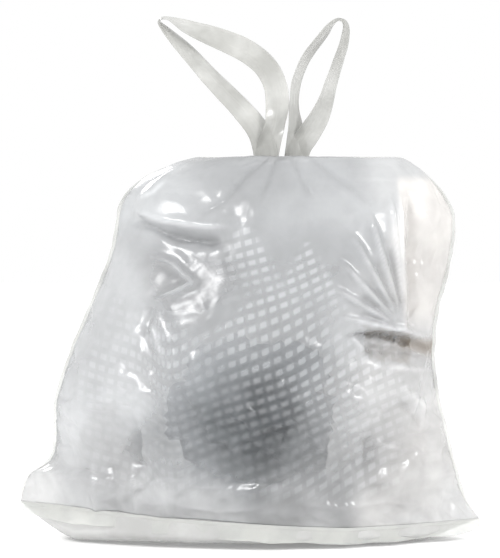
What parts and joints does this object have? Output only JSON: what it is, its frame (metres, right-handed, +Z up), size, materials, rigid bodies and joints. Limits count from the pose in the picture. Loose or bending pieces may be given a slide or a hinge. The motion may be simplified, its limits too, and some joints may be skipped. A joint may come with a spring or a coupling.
{
  "type": "filled drawstring refuse bag",
  "caption": "full translucent film bag standing on its base, drawn shut by flat tapes whose two loops stand up from the gathered neck",
  "frame": {"origin": "on the floor under the middle of the bag's bounding box", "axes": "+Z up; +X to the right as the bag's front is seen; the front faces -Y"},
  "size_m": [0.584, 0.25, 0.6556],
  "materials": {
    "film": "thin translucent film",
    "seal": "heat-sealed film",
    "tape": "satin flat tape",
    "dark_paper": "crumpled",
    "pale_paper": "crumpled",
    "brown_card": "matt",
    "grey_card": "matt"
  },
  "bodies": {
    "bag": {"front_panel": "film", "back_panel": "film", "front_neck_gathers": "film", "back_neck_gathers": "film", "left_side_seal": "seal", "right_side_seal": "seal", "bottom_seal": "seal", "front_hem": "film", "back_hem": "film", "front_hem_seal": "seal", "back_hem_seal": "seal", "front_tape_left_run": "tape", "front_tape_right_run": "tape", "back_tape_left_run": "tape", "back_tape_right_run": "tape", "left_tape_weld": "tape", "right_tape_weld": "tape", "dark_bundle": "dark_paper", "left_paper_wad": "pale_paper", "right_paper_wad": "pale_paper", "upper_left_wad": "pale_paper", "upper_right_wad": "pale_paper", "brown_card": "brown_card", "carton": "grey_card"},
    "left_pull": {"left_loop_stem": "tape"},
    "left_handle": {"left_loop": "tape"},
    "right_pull": {"right_loop_stem": "tape"},
    "right_handle": {"right_loop": "tape"}
  },
  "joints": [
    {"name": "left_draw", "type": "slide", "parent": "bag", "child": "left_pull", "axis": [0, 0, 1], "range_m": [0, 0.05]},
    {"name": "left_flop", "type": "hinge", "parent": "left_pull", "child": "left_handle", "pos_m": [0.02, -0.0108, 0.487], "axis": [1, 0, 0], "range_deg": [0, 75]},
    {"name": "right_draw", "type": "slide", "parent": "bag", "child": "right_pull", "axis": [0, 0, 1], "range_m": [0, 0.05]},
    {"name": "right_flop", "type": "hinge", "parent": "right_pull", "child": "right_handle", "pos_m": [0.058, 0.0108, 0.487], "axis": [-1, 0, 0], "range_deg": [0, 75]}
  ]
}
